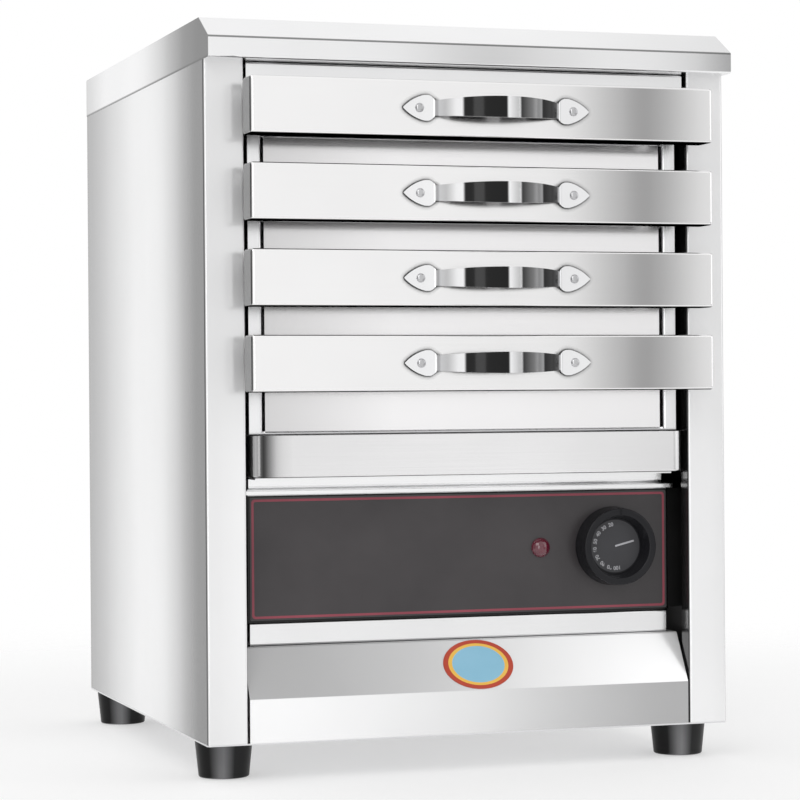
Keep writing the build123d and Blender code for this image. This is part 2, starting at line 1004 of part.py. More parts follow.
def valve_stem():
    """Stem that turns in the valve's boss and carries the lever and its nut."""
    low = drain_z + stem_boss_height - stem_depth + lever_gap
    high = lever_z() + lever_thick + lever_nut_height
    return Pos(drain_x, valve_centre, (low + high) / 2) * Cylinder(stem_radius, high - low)


def lever_z():
    """Height of the lever's underside above the valve's stem boss."""
    return drain_z + stem_boss_height + lever_gap


def drain_lever():
    """Quarter-turn lever: a flat end on the stem, a crank and a long flat grip."""
    half = lever_width / 2
    section = bent_sheet(
        [
            (-half, 0),
            (lever_flat, 0),
            (lever_flat + lever_lift, lever_lift),
            (lever_length, lever_lift),
        ],
        lever_thick,
        Side.LEFT,
    )
    strap = Pos(0, half, 0) * extrude(Plane.XZ * section, amount=lever_width)
    strap = fillet(strap.edges().filter_by(Axis.Z), lever_corner)
    part = strap - Cylinder(stem_radius + shaft_clearance, 2 * (lever_thick + overshoot))
    return Pos(drain_x, valve_centre, lever_z()) * part


def lever_grip():
    """Plastic sleeve over the end of the lever."""
    wall = lever_grip_wall
    length = lever_grip_length + wall
    section = RectangleRounded(lever_width + 2 * wall, lever_thick + 2 * wall, wall)
    sleeve = extrude(Plane.YZ * section, amount=length)
    sleeve = fillet(sleeve.edges().group_by(Axis.X)[-1], lever_grip_round)
    slot = Pos(lever_grip_length / 2, 0, 0) * Box(lever_grip_length, lever_width, lever_thick)
    centre = lever_z() + lever_lift + lever_thick / 2
    start = drain_x + lever_length - lever_grip_length
    return Pos(start, valve_centre, centre) * (sleeve - slot)


def lever_nut():
    """Nut that keeps the lever on its stem."""
    section = RegularPolygon(lever_nut_across / 2, 6, major_radius=False)
    nut = extrude(section - Circle(stem_radius + shaft_clearance), amount=lever_nut_height)
    return Pos(drain_x, valve_centre, lever_z() + lever_thick) * nut


# ---- rear services ----
def cable_gland():
    """Domed gland body through the rear sheet, with a round cable entry."""
    z = floor_z + gland_rise
    front = rear_panel_y - shell_sheet - gland_nut_height - gland_end
    hex_back = rear_panel_y + gland_nut_height
    back = rear_panel_y + gland_length
    part = rod_y(gland_x, z, front, rear_panel_y, gland_radius)
    part += hex_y(gland_x, z, rear_panel_y, hex_back, gland_nut_across)
    dome = rod_y(gland_x, z, hex_back, back, gland_dome_radius)
    part += fillet(dome.edges().sort_by(Axis.Y)[-1], gland_dome_round)
    return part - rod_y(gland_x, z, front - overshoot, back + overshoot, gland_bore)


def gland_nut():
    """Lock nut of the cable gland inside the rear sheet."""
    z = floor_z + gland_rise
    back = rear_panel_y - shell_sheet
    front = back - gland_nut_height
    nut = hex_y(gland_x, z, front, back, gland_nut_across)
    bore = gland_radius + shaft_clearance
    return nut - rod_y(gland_x, z, front - overshoot, back + overshoot, bore)


def terminal_block():
    """Connector block on the base plate with one screw well for each way."""
    z = floor_z + base_sheet
    y = body_depth - block_setback
    part = Pos(gland_x, y, z + block_height / 2) * Box(block_width, block_depth, block_height)
    part = fillet(part.edges().filter_by(Axis.Z), block_edge)
    pitch = block_width / block_ways
    for i in range(block_ways):
        x = gland_x + (i - (block_ways - 1) / 2) * pitch
        part -= Pos(x, y, z + block_height) * Cylinder(block_well_radius, block_height)
        part -= rod_y(x, z + block_wire_rise, y - block_depth, y + block_depth, block_wire_radius)
    return part


# ---- badge ----
def round_badge():
    """Plain oval disc on the leaning face of the apron."""
    slope = Plane(
        origin=(badge_x, slope_run / 2, (lip_z + slope_z) / 2),
        x_dir=(1, 0, 0),
        z_dir=(0, -slope_height, slope_run),
    )
    return extrude(slope * Ellipse(badge_width / 2, badge_height / 2), amount=badge_thick)


# ---- drawers ----
def drawer_bottom_z(index):
    """Lower edge of the opening of one drawer, counted from the top."""
    return opening_top_z - opening_height - (index - 1) * drawer_pitch


def drawer_front(index):
    """Folded front of a drawer, drilled for the handle."""
    low = drawer_bottom_z(index) - face_edge_overlap
    part = folded_box(face_half, face_y, face_depth, low, low + face_height, face_sheet, face_round)
    return part - rivet_holes(index)


def handle_z(index):
    """Height of the handle's middle line."""
    return drawer_bottom_z(index) + opening_height / 2


def rivet_places(index):
    """Centres of the two rivets of a handle."""
    return [(handle_offset + side * handle_pitch / 2, handle_z(index)) for side in (-1, 1)]


def rivet_holes(index):
    """Cutters through a handle plate and the drawer front."""
    front = face_y - 2 * handle_thick
    back = face_y + 2 * face_sheet
    radius = rivet_radius + rivet_clearance
    holes = [rod_y(x, z, front, back, radius) for x, z in rivet_places(index)]
    return holes[0] + holes[1]


def drawer_tray(index):
    """Steam tray: a pan with a flat rim and a turned-down hem that runs in the rails."""
    floor = drawer_bottom_z(index) + tray_floor_gap
    middle = (tray_front + tray_rear) / 2
    length = tray_rear - tray_front
    pan = extrude(
        RectangleRounded(2 * pan_half, length - 2 * tray_rim, tray_corner), amount=tray_height
    )
    pan = fillet(pan.faces().sort_by(Axis.Z)[0].edges(), tray_bottom_round)
    shell = offset(pan, amount=-tray_sheet, openings=pan.faces().sort_by(Axis.Z)[-1])
    corner = tray_corner + tray_rim
    outer = RectangleRounded(2 * rim_half, length, corner)
    hem = outer - offset(outer, amount=-tray_sheet)
    rim = Pos(0, 0, tray_height - tray_sheet) * extrude(outer, amount=tray_sheet) - pan
    hem = Pos(0, 0, tray_height - tray_hem) * extrude(hem, amount=tray_hem)
    return Pos(0, middle, floor) * (shell + rim + hem)


def handle_plan():
    """Plan section of the strap: flat feet and a bowed middle."""
    foot = handle_pitch / 2 + handle_tip
    bow = handle_pitch / 2 - handle_plate_inner
    reach = -handle_reach + handle_thick
    line = (
        Line((-foot, 0), (-bow, 0))
        + ThreePointArc((-bow, 0), (0, reach), (bow, 0))
        + Line((bow, 0), (foot, 0))
    )
    line = fillet(line.vertices().sort_by(Axis.X)[1:-1], handle_foot_round)
    return make_face(offset(line, amount=handle_thick, side=Side.RIGHT))


def handle_outline():
    """Front outline of a handle: two pointed leaf plates joined by a swelling strap."""
    hole = handle_pitch / 2
    tip = (-hole - handle_tip, 0)
    shoulder = (tip[0] + handle_shoulder_x, handle_shoulder_z)
    peak = (-hole + handle_plate_peak, handle_plate_height / 2)
    inner = hole - handle_plate_inner
    heel = (-inner - handle_heel_x, handle_heel_z)
    end = (-inner, handle_plate_end / 2)
    upper = make_face(
        ThreePointArc(tip, shoulder, peak)
        + ThreePointArc(peak, heel, end)
        + Line(end, (-inner, 0))
        + Line((-inner, 0), tip)
    )
    leaf = upper + mirror(upper, about=Plane.XZ)
    side = handle_strap_end / 2
    mid = handle_strap_mid / 2
    reach = inner + handle_strap_lap
    strap = make_face(
        ThreePointArc((-reach, side), (0, mid), (reach, side))
        + Line((reach, side), (reach, -side))
        + ThreePointArc((reach, -side), (0, -mid), (-reach, -side))
        + Line((-reach, -side), (-reach, side))
    )
    return leaf + strap + mirror(leaf, about=Plane.YZ)


def drawer_handle(index):
    """Bow handle cut from strap: plan section and front outline intersected."""
    tall = handle_plate_height
    plan = Pos(0, 0, -tall / 2) * extrude(handle_plan(), amount=tall)
    front = extrude(Plane.XZ * handle_outline(), amount=2 * handle_reach)
    strap = plan & front
    return Pos(handle_offset, face_y, handle_z(index)) * strap - rivet_holes(index)


def drawer_rivets(index):
    """Two domed rivets that hold a handle to its drawer front."""
    rivets = []
    for x, z in rivet_places(index):
        seat = face_y - handle_thick
        tail = face_y + face_sheet + rivet_tail
        shank = rod_y(x, z, seat, tail, rivet_radius)
        head = rod_y(x, z, seat - rivet_head_height, seat, rivet_head_radius)
        head = fillet(head.edges().sort_by(Axis.Y)[0], rivet_head_round)
        rivets.append(shank + head)
    return group(rivets)


def cabinet_nodes():
    """Every piece except the drawers."""
    side = drilled_side_panel()
    wall = chamber_wall()
    rails = [tray_rail(i) for i in range(1, drawer_count + 1)]
    return {
        "left_side_panel": side,
        "right_side_panel": mirror(side, about=Plane.YZ),
        "rear_panel": rear_panel(),
        "rear_panel_screws": rear_screws(),
        "base_plate": base_plate(),
        "top_cover": top_cover(),
        "rubber_feet": group([Pos(x, y, 0) * rubber_foot() for x, y in foot_places()]),
        "foot_screws": group([Pos(x, y, 0) * foot_screw() for x, y in foot_places()]),
        "lower_apron": lower_apron(),
        "lower_rail": lower_rail(),
        "control_panel": control_panel(),
        "panel_overlay": panel_overlay(),
        "control_brackets": both_sides(control_bracket()),
        "drip_shelf": drip_shelf(),
        "drip_tray": drip_tray(),
        "lower_crossbar": channel_bar(chamber_z, opening_z),
        "dividers": group([divider(i) for i in range(1, drawer_count)]),
        "header": header(),
        "chamber_left_wall": wall,
        "chamber_right_wall": mirror(wall, about=Plane.YZ),
        "chamber_rear_wall": chamber_rear_wall(),
        "chamber_ceiling": chamber_ceiling(),
        "tray_rails": group(rails + [mirror(rail, about=Plane.YZ) for rail in rails]),
        "water_tank": water_tank(),
        "tank_supports": both_sides(tank_support()),
        "heating_element": heating_element(),
        "element_nuts": element_nuts(),
        "thermostat_body": thermostat_body(),
        "thermostat_nut": thermostat_nut(),
        "thermostat_bulb": thermostat_bulb(),
        "thermostat_knob": thermostat_knob(),
        "thermostat_shaft": thermostat_shaft(),
        "lamp_lens": lamp_lens(),
        "lamp_body": lamp_body(),
        "drain_pipe": drain_pipe(),
        "drain_valve": drain_valve(),
        "valve_stem": valve_stem(),
        "drain_lever": drain_lever(),
        "lever_grip": lever_grip(),
        "lever_nut": lever_nut(),
        "cable_gland": cable_gland(),
        "gland_nut": gland_nut(),
        "terminal_block": terminal_block(),
        "round_badge": round_badge(),
    }


def drawer_nodes(index):
    """The four pieces of one drawer."""
    return {
        f"drawer_{index}_front": drawer_front(index),
        f"drawer_{index}_tray": drawer_tray(index),
        f"drawer_{index}_handle": drawer_handle(index),
        f"drawer_{index}_rivets": drawer_rivets(index),
    }


nodes = cabinet_nodes()
for number in range(1, drawer_count + 1):
    nodes.update(drawer_nodes(number))

os.makedirs("parts", exist_ok=True)
for name, shape in nodes.items():
    moved = [Pos(0, -origin_y, 0) * solid for solid in shape.solids()]
    export_step(Compound(moved), f"parts/{name}.step")
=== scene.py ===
import math

import bmesh
import bpy
from mathutils import Matrix, Vector


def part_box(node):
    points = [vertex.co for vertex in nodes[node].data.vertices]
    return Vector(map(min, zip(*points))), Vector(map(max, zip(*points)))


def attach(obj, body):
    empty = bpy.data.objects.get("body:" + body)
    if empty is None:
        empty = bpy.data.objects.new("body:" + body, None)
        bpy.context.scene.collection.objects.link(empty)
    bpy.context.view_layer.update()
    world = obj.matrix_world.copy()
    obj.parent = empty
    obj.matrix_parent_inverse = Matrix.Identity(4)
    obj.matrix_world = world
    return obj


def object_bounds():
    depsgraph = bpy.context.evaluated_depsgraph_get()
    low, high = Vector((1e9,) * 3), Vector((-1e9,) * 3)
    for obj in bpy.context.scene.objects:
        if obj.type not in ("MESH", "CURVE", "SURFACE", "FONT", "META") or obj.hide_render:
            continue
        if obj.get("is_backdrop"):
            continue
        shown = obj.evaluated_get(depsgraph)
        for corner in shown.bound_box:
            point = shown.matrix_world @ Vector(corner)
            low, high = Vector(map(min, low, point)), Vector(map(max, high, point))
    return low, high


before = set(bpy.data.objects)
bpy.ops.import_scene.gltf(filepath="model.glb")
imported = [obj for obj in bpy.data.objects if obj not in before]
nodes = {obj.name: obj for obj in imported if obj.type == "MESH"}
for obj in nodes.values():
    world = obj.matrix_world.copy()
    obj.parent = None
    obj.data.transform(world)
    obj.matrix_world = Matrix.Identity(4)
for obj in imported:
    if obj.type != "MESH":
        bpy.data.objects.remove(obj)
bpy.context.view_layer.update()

# ---- sizes of the dressed details: metres, and degrees counted from +X towards +Z ----
print_thick = 0.00006
border_inset = 0.0014
border_width = 0.0019
border_round = 0.0026
dish_depth = 0.012
face_radius = 0.0215
mark_values = range(20, 101, 10)
mark_ring = 0.0178
mark_size = 0.0043
mark_bold = 0.00012
mark_first = 102
mark_last = 275
pointer_length = 0.0170
pointer_width = 0.0015
pointer_angle = 14
# the slope of the apron's leaning face, and the badge on it
slope_run = 0.023
slope_height = 0.039
badge_lift = 0.00025
badge_side_gap = 0.0004
badge_end_gap = 0.0006
# outer and inner share of the badge, ring by ring
badge_rings = [(1.0, 0.87), (0.87, 0.76), (0.76, 0.0)]

# ---- places on the model that the tones start and end at ----
half_wide = 0.219
side_front = -0.219
cover_front = -0.237
side_rear = 0.231
cover_bottom = 0.560
shadow_band_height = 0.010
seam_reach = 0.0040
strap_left = -0.0705
strap_right = 0.0845

# ---- camera: pinhole fitted to the cabinet's corners ----
focal_pixels = 2704
frame_pixels = 800
camera_place = Vector((-0.721, -2.249, 0.300))
camera_yaw = 18.01
camera_pitch = -0.11
camera_roll = -0.42
sensor_width = 36
camera_reach = 50

# ---- stage ----
world_level = 0.95
# tones of the world's ring, by place from left to right
world_tones = ((0.05, 0.45), (0.12, 0.92), (0.34, 1.0), (0.68, 1.0), (0.80, 0.42), (0.90, 0.85))
world_left = (0.62, 0.62, 0.63, 1)
world_right = (0.95, 0.95, 0.96, 1)
white = (1, 1, 1, 1)
floor_radius = 3.0
floor_drop = 0.0005
floor_tone = (0.58, 0.58, 0.58, 1)
floor_glow = 0.42
fade_start = 0.45
fade_end = 1.3
# name, place, what it looks at, width and height, watts
soft_boxes = [
    ("key", (-1.6, -2.4, 2.2), (0, 0, 0.3), (1.6, 1.6), 14),
    ("fill", (1.8, -1.6, 1.2), (0, 0, 0.3), (1.2, 2.0), 6),
    ("strip", (-0.95, -3.0, 0.45), (-0.19, -0.24, 0.4), (0.7, 1.5), 6.5),
]

# ---- materials ----
even = (1, 1, 1)
across_grain = (0.6, 60, 60)
depth_grain = (60, 0.6, 60)
upright_grain = (60, 60, 0.6)
steel_cloud = 7.0
skin_cloud = 18.0
grain_depth = 0.0002
skin_depth = 0.0001
seam_samples = 6


def base_material(name):
    """A node material with its shader, texture coordinates and a small tree helper."""
    mat = bpy.data.materials.new(name)
    mat.use_nodes = True
    tree = mat.node_tree
    shader = tree.nodes["Principled BSDF"]
    coords = tree.nodes.new("ShaderNodeTexCoord")
    return mat, tree, shader, coords


def noise(tree, coords, scale, stretch=even, detail=4.0, rough=0.55):
    """Noise over the object's own coordinates. A small stretch value draws it out along that axis."""
    mapping = tree.nodes.new("ShaderNodeMapping")
    mapping.inputs["Scale"].default_value = stretch
    tree.links.new(coords.outputs["Object"], mapping.inputs["Vector"])
    tex = tree.nodes.new("ShaderNodeTexNoise")
    tex.inputs["Scale"].default_value = scale
    tex.inputs["Detail"].default_value = detail
    tex.inputs["Roughness"].default_value = rough
    tree.links.new(mapping.outputs["Vector"], tex.inputs["Vector"])
    return tex.outputs["Fac"]


def ranged(tree, value, low, high, start=0.3, end=0.7):
    """The noise value spread over a range."""
    node = tree.nodes.new("ShaderNodeMapRange")
    node.inputs["From Min"].default_value = start
    node.inputs["From Max"].default_value = end
    node.inputs["To Min"].default_value = low
    node.inputs["To Max"].default_value = high
    tree.links.new(value, node.inputs["Value"])
    return node.outputs["Result"]


def tinted(tree, value, dark, light, start=0.3, end=0.7):
    """A colour that wanders between two tints with the noise."""
    ramp = tree.nodes.new("ShaderNodeValToRGB")
    ramp.color_ramp.elements[0].position = start
    ramp.color_ramp.elements[0].color = (*dark, 1)
    ramp.color_ramp.elements[1].position = end
    ramp.color_ramp.elements[1].color = (*light, 1)
    tree.links.new(value, ramp.inputs["Fac"])
    return ramp.outputs["Color"]


def bumped(tree, shader, height, strength, distance):
    """Fine relief on the surface."""
    bump = tree.nodes.new("ShaderNodeBump")
    bump.inputs["Strength"].default_value = strength
    bump.inputs["Distance"].default_value = distance
    tree.links.new(height, bump.inputs["Height"])
    tree.links.new(bump.outputs["Normal"], shader.inputs["Normal"])


def ramp_node(tree, value, stops, bend="LINEAR"):
    """A grey ramp through (place, level) stops."""
    ramp = tree.nodes.new("ShaderNodeValToRGB")
    ramp.color_ramp.interpolation = bend
    marks = ramp.color_ramp.elements
    marks[0].position, marks[0].color = stops[0][0], (*[stops[0][1]] * 3, 1)
    marks[1].position, marks[1].color = stops[-1][0], (*[stops[-1][1]] * 3, 1)
    for place, level in stops[1:-1]:
        mark = marks.new(place)
        mark.color = (level, level, level, 1)
    tree.links.new(value, ramp.inputs["Fac"])
    return ramp.outputs["Color"]


def along(tree, coords, axis, low, high, stops, bend="CARDINAL"):
    """Tone along one axis of the object, from low to high in metres."""
    split = tree.nodes.new("ShaderNodeSeparateXYZ")
    tree.links.new(coords.outputs["Object"], split.inputs["Vector"])
    return ramp_node(tree, ranged(tree, split.outputs[axis], 0, 1, low, high), stops, bend)


def facing(tree, coords, axis, stops):
    """Tone by which way a face looks: 0 is against the axis, 1 is along it."""
    split = tree.nodes.new("ShaderNodeSeparateXYZ")
    tree.links.new(coords.outputs["Normal"], split.inputs["Vector"])
    return ramp_node(tree, ranged(tree, split.outputs[axis], 0, 1, -1, 1), stops)


def tone_on(tree, coords, mask, tone):
    """A tone kept to the faces that a mask picks, white on the others."""
    mix = tree.nodes.new("ShaderNodeMix")
    mix.data_type = "RGBA"
    mix.inputs["A"].default_value = white
    tree.links.new(mask[0](tree, coords, *mask[1:]), mix.inputs["Factor"])
    tree.links.new(tone[0](tree, coords, *tone[1:]), mix.inputs["B"])
    return mix.outputs["Result"]


def seam_dark(tree, coords, reach, stops):
    """Painted shade in the seams: dark within the reach of another surface."""
    near = tree.nodes.new("ShaderNodeAmbientOcclusion")
    near.samples = seam_samples
    near.inputs["Distance"].default_value = reach
    return ramp_node(tree, near.outputs["AO"], stops)


def times(tree, first, second):
    """Two tints multiplied."""
    mix = tree.nodes.new("ShaderNodeMix")
    mix.data_type = "RGBA"
    mix.blend_type = "MULTIPLY"
    mix.inputs["Factor"].default_value = 1.0
    tree.links.new(first, mix.inputs["A"])
    tree.links.new(second, mix.inputs["B"])
    return mix.outputs["Result"]


def toned(tree, coords, colour, painted_tones):
    """The colour with each tone of painted shade and reflection laid over it."""
    for make, *words in painted_tones:
        colour = times(tree, colour, make(tree, coords, *words))
    return colour


def steel(
    name, dark, light, smooth, matt, grain, grain_scale=14, relief=0.05, painted_tones=(), metal=1.0
):
    """Brushed metal: fine grain along one axis, a cloudy tint and soft tones of painted shade and
    reflection fixed to the piece.

    metal is a number, or a mask that is black where the surface is painted plain matt black as shade.
    """
    mat, tree, shader, coords = base_material(name)
    if isinstance(metal, float):
        shader.inputs["Metallic"].default_value = metal
    else:
        shader.inputs["Specular IOR Level"].default_value = 0.0
        tree.links.new(metal[0](tree, coords, *metal[1:]), shader.inputs["Metallic"])
    fine = noise(tree, coords, grain_scale, grain, 5.0, 0.6)
    cloud = noise(tree, coords, steel_cloud, even, 3.0)
    colour = toned(tree, coords, tinted(tree, cloud, dark, light), painted_tones)
    tree.links.new(colour, shader.inputs["Base Color"])
    tree.links.new(ranged(tree, fine, smooth, matt), shader.inputs["Roughness"])
    bumped(tree, shader, fine, relief, grain_depth)
    return mat


def plastic(
    name, dark, light, smooth, matt, scale=300, relief=0.1, depth=skin_depth, coat=0.0, gloss=0.5,
    painted_tones=(),
):
    """Moulded plastic, rubber or ink with a fine skin texture."""
    mat, tree, shader, coords = base_material(name)
    fine = noise(tree, coords, scale, even, 3.0)
    cloud = noise(tree, coords, skin_cloud, even, 3.0)
    colour = toned(tree, coords, tinted(tree, cloud, dark, light), painted_tones)
    tree.links.new(colour, shader.inputs["Base Color"])
    tree.links.new(ranged(tree, fine, smooth, matt), shader.inputs["Roughness"])
    shader.inputs["Coat Weight"].default_value = coat
    shader.inputs["Specular IOR Level"].default_value = gloss
    bumped(tree, shader, fine, relief, depth)
    return mat


# which way a face looks, as masks and as tones of painted shade
looks_left = (facing, "X", [(0.0, 1.0), (0.10, 1.0), (0.25, 0.0), (1.0, 0.0)])
looks_right = (facing, "X", [(0.0, 0.0), (0.75, 0.0), (0.90, 1.0), (1.0, 1.0)])
looks_front = (facing, "Y", [(0.0, 1.0), (0.02, 1.0), (0.05, 0.0), (1.0, 0.0)])
looks_up = (facing, "Z", [(0.0, 0.0), (0.62, 0.0), (0.72, 1.0), (1.0, 1.0)])
# painted shade: faces that look down are darkened
painted_shade_under = (facing, "Z", [(0.0, 0.10), (0.16, 1.0), (1.0, 1.0)])
# painted shade: faces that look to -X are darkened almost to black
painted_shade_left = (facing, "X", [(0.0, 0.02), (0.06, 0.03), (0.20, 1.0), (1.0, 1.0)])
# painted shade: faces that look to +X are darkened almost to black
painted_shade_right = (facing, "X", [(0.0, 1.0), (0.80, 1.0), (0.94, 0.03), (1.0, 0.02)])
# painted shade: faces that look partly up, such as the cover's slope, are darkened
painted_cover_slope_shade = (facing, "Z", [(0.0, 1.0), (0.51, 1.0), (0.56, 0.30), (0.84, 0.30), (0.91, 1.0), (1.0, 1.0)])
# painted shade: faces that look straight up are a little darker
painted_top_shade = (facing, "Z", [(0.0, 1.0), (0.92, 1.0), (0.97, 0.90), (1.0, 0.90)])
# painted shadow: a dark band along the lowest part of the cover
painted_lower_shadow = (
    along, "Z", cover_bottom, cover_bottom + shadow_band_height,
    [(0.0, 0.12), (0.10, 0.18), (0.22, 1.0), (1.0, 1.0)],
    "LINEAR",
)
# painted shade: the drawer fronts darken where another surface is near, as round the handle plates
plate_painted_shade = (seam_dark, seam_reach, [(0.50, 0.01), (0.68, 0.06), (0.82, 0.70), (0.93, 1.0)])
# painted shade: faces that don't look up are darkened almost to black
painted_shade_but_up = (facing, "Z", [(0.0, 0.03), (0.60, 0.03), (0.75, 1.0), (1.0, 1.0)])

# broad bands of painted reflection and shade along one axis of a piece
painted_side_reflection = (
    along, "Y", side_front, side_rear,
    [
        (0.0, 0.12), (0.09, 0.20), (0.19, 0.52), (0.30, 0.86), (0.44, 1.0), (0.60, 0.93),
        (0.80, 0.62), (1.0, 0.32),
    ],
)
painted_cheek_reflection = (
    along, "Y", cover_front, side_rear,
    [(0.0, 0.08), (0.10, 0.10), (0.20, 0.22), (0.32, 0.56), (0.48, 0.93), (0.80, 1.0), (1.0, 0.66)],
)
painted_post_reflection = (
    along, "X", -half_wide, half_wide,
    [(0.0, 0.84), (0.03, 0.86), (0.12, 0.96), (0.88, 0.92), (0.97, 0.90), (1.0, 0.86)],
)
painted_drawer_reflection = (
    along, "X", -half_wide, half_wide,
    [(0.0, 0.97), (0.50, 0.96), (0.66, 0.88), (0.76, 0.55), (0.82, 0.46), (0.91, 0.86), (1.0, 1.0)],
)
painted_divider_reflection = (
    along, "X", -half_wide, half_wide,
    [(0.0, 0.66), (0.14, 0.76), (0.36, 1.0), (0.60, 1.0), (0.86, 1.0), (1.0, 0.94)],
)
painted_fascia_reflection = (
    along, "X", -half_wide, half_wide,
    [(0.0, 0.94), (0.35, 0.90), (0.50, 0.72), (0.62, 0.80), (0.80, 0.95), (0.93, 0.80), (1.0, 0.50)],
)
painted_slope_reflection = (
    along, "X", -half_wide, half_wide,
    [(0.0, 0.46), (0.25, 0.52), (0.50, 0.72), (0.72, 0.94), (1.0, 1.0)],
)
painted_lip_reflection = (
    along, "X", -half_wide, half_wide,
    [(0.0, 1.0), (0.30, 0.95), (0.55, 0.76), (0.80, 0.52), (1.0, 0.44)],
)
painted_trough_reflection = (
    along, "X", -half_wide, half_wide,
    [
        (0.0, 0.80), (0.085, 0.86), (0.100, 0.15), (0.112, 0.17), (0.130, 0.66), (0.160, 0.90),
        (0.905, 0.92), (0.930, 0.40), (0.945, 0.30), (1.0, 0.30),
    ],
)
painted_strap_reflection = (
    along, "X", strap_left, strap_right,
    [
        (0.0, 0.92), (0.165, 0.95), (0.175, 0.60), (0.185, 1.0), (0.280, 1.0), (0.290, 0.02),
        (0.496, 0.015), (0.506, 0.97), (0.566, 0.97), (0.576, 0.03), (0.640, 0.12), (0.700, 0.36),
        (0.708, 0.02), (0.815, 0.05), (0.840, 0.90), (1.0, 0.92),
    ],
    "LINEAR",
)

near_white = ((0.93, 0.93, 0.935), (0.975, 0.975, 0.98))
left_steel = steel(
    "left_steel", *near_white, 0.14, 0.19, upright_grain, 14, 0.012,
    ((tone_on, looks_left, painted_side_reflection), (tone_on, looks_front, painted_post_reflection), painted_shade_right), 0.36,
)
right_steel = steel(
    "right_steel", *near_white, 0.14, 0.19, upright_grain, 14, 0.012,
    ((tone_on, looks_right, painted_side_reflection), (tone_on, looks_front, painted_post_reflection), painted_shade_left), 0.36,
)
cover_steel = steel(
    "cover_steel", *near_white, 0.16, 0.22, across_grain, 14, 0.015,
    (
        (tone_on, looks_left, painted_cheek_reflection), (tone_on, looks_right, painted_cheek_reflection),
        (tone_on, looks_left, painted_lower_shadow), (tone_on, looks_right, painted_lower_shadow),
        (tone_on, looks_front, painted_fascia_reflection), painted_cover_slope_shade, painted_top_shade,
    ),
)
shelf_steel = steel("shelf_steel", *near_white, 0.16, 0.22, across_grain, 14, 0.02)
panel_steel = steel("panel_steel", *near_white, 0.16, 0.22, across_grain, 14, 0.02, (painted_shade_but_up,))
front_steel = steel(
    "front_steel", (0.83, 0.83, 0.835), (0.89, 0.89, 0.895), 0.16, 0.22, across_grain, 14, 0.02,
    (painted_shade_under,),
)
apron_steel = steel(
    "apron_steel", *near_white, 0.16, 0.22, across_grain, 14, 0.02,
    ((tone_on, looks_up, painted_slope_reflection), (tone_on, looks_front, painted_lip_reflection)), 0.45,
)
# the drawers' undersides and left ends are painted black as full shade
painted_shade_below = (facing, "Z", [(0.0, 0.0), (0.10, 0.0), (0.20, 1.0), (1.0, 1.0)])
shaded_left = (facing, "X", [(0.0, 0.04), (0.08, 0.04), (0.20, 1.0), (1.0, 1.0)])
drawer_steel = steel(
    "drawer_steel", (0.93, 0.925, 0.925), (0.97, 0.965, 0.965), 0.14, 0.20, across_grain, 14, 0.015,
    ((tone_on, looks_front, painted_drawer_reflection), plate_painted_shade, painted_shade_below, shaded_left), painted_shade_below,
)
divider_steel = steel(
    "divider_steel", (0.97, 0.96, 0.965), (0.99, 0.98, 0.985), 0.13, 0.18, across_grain, 14, 0.01,
    (painted_divider_reflection,), 0.90,
)
trough_steel = steel(
    "trough_steel", (0.88, 0.875, 0.88), (0.93, 0.925, 0.93), 0.18, 0.26, across_grain, 18, 0.04,
    (painted_trough_reflection, painted_shade_under),
)
strip_steel = steel(
    "strip_steel", (0.90, 0.90, 0.91), (0.95, 0.95, 0.955), 0.20, 0.28, upright_grain, 14, 0.02
)
chrome = steel(
    "chrome", (0.93, 0.93, 0.94), (0.98, 0.98, 0.985), 0.08, 0.14, across_grain, 10, 0.02,
    (painted_strap_reflection, painted_shade_under), 0.80,
)
rivet_chrome = steel("rivet_chrome", (0.50, 0.50, 0.51), (0.64, 0.64, 0.65), 0.14, 0.22, even, 90)
rear_steel = steel("rear_steel", (0.72, 0.72, 0.73), (0.80, 0.80, 0.81), 0.28, 0.40, across_grain)
# painted shade: steel inside the cabinet is made near black
inner_steel = steel("inner_steel", (0.03, 0.03, 0.03), (0.06, 0.06, 0.06), 0.40, 0.55, depth_grain)
tray_steel = steel("tray_steel", (0.74, 0.74, 0.75), (0.82, 0.82, 0.83), 0.24, 0.36, depth_grain)
screw_steel = steel("screw_steel", (0.48, 0.48, 0.49), (0.60, 0.60, 0.60), 0.25, 0.40, even, 160)
brass = steel("brass", (0.60, 0.42, 0.18), (0.72, 0.53, 0.26), 0.22, 0.40, even, 90)
copper = steel("copper", (0.60, 0.32, 0.20), (0.72, 0.42, 0.28), 0.25, 0.40, even, 90)
sheath = steel("sheath", (0.14, 0.13, 0.12), (0.30, 0.28, 0.27), 0.40, 0.60, even, 120)
# painted highlight: the feet catch the light on their front left side
foot_sheen = (
    facing, "X", [(0.0, 0.02), (0.14, 0.04), (0.30, 0.85), (0.38, 1.0), (0.58, 0.10), (1.0, 0.02)]
)
rubber = plastic(
    "rubber", (0.17, 0.17, 0.175), (0.22, 0.22, 0.225), 0.30, 0.38, 420, 0.03,
    gloss=0.15, painted_tones=(foot_sheen,),
)
knob_plastic = plastic(
    "knob_plastic", (0.008, 0.008, 0.010), (0.013, 0.013, 0.015), 0.20, 0.27, 260, 0.02, 0.00004,
    gloss=0.22,
)
gland_plastic = plastic("gland_plastic", (0.016, 0.016, 0.016), (0.030, 0.030, 0.030), 0.35, 0.5, 300)
switch_plastic = plastic("switch_plastic", (0.16, 0.11, 0.08), (0.24, 0.17, 0.12), 0.4, 0.55, 200)
grip_vinyl = plastic("grip_vinyl", (0.45, 0.02, 0.02), (0.58, 0.04, 0.03), 0.30, 0.42, 160)
panel_film = plastic(
    "panel_film", (0.032, 0.028, 0.030), (0.044, 0.039, 0.041), 0.28, 0.32, 420, 0.008, 0.00002
)
border_ink = plastic("border_ink", (0.22, 0.035, 0.055), (0.29, 0.050, 0.075), 0.35, 0.50, 600)
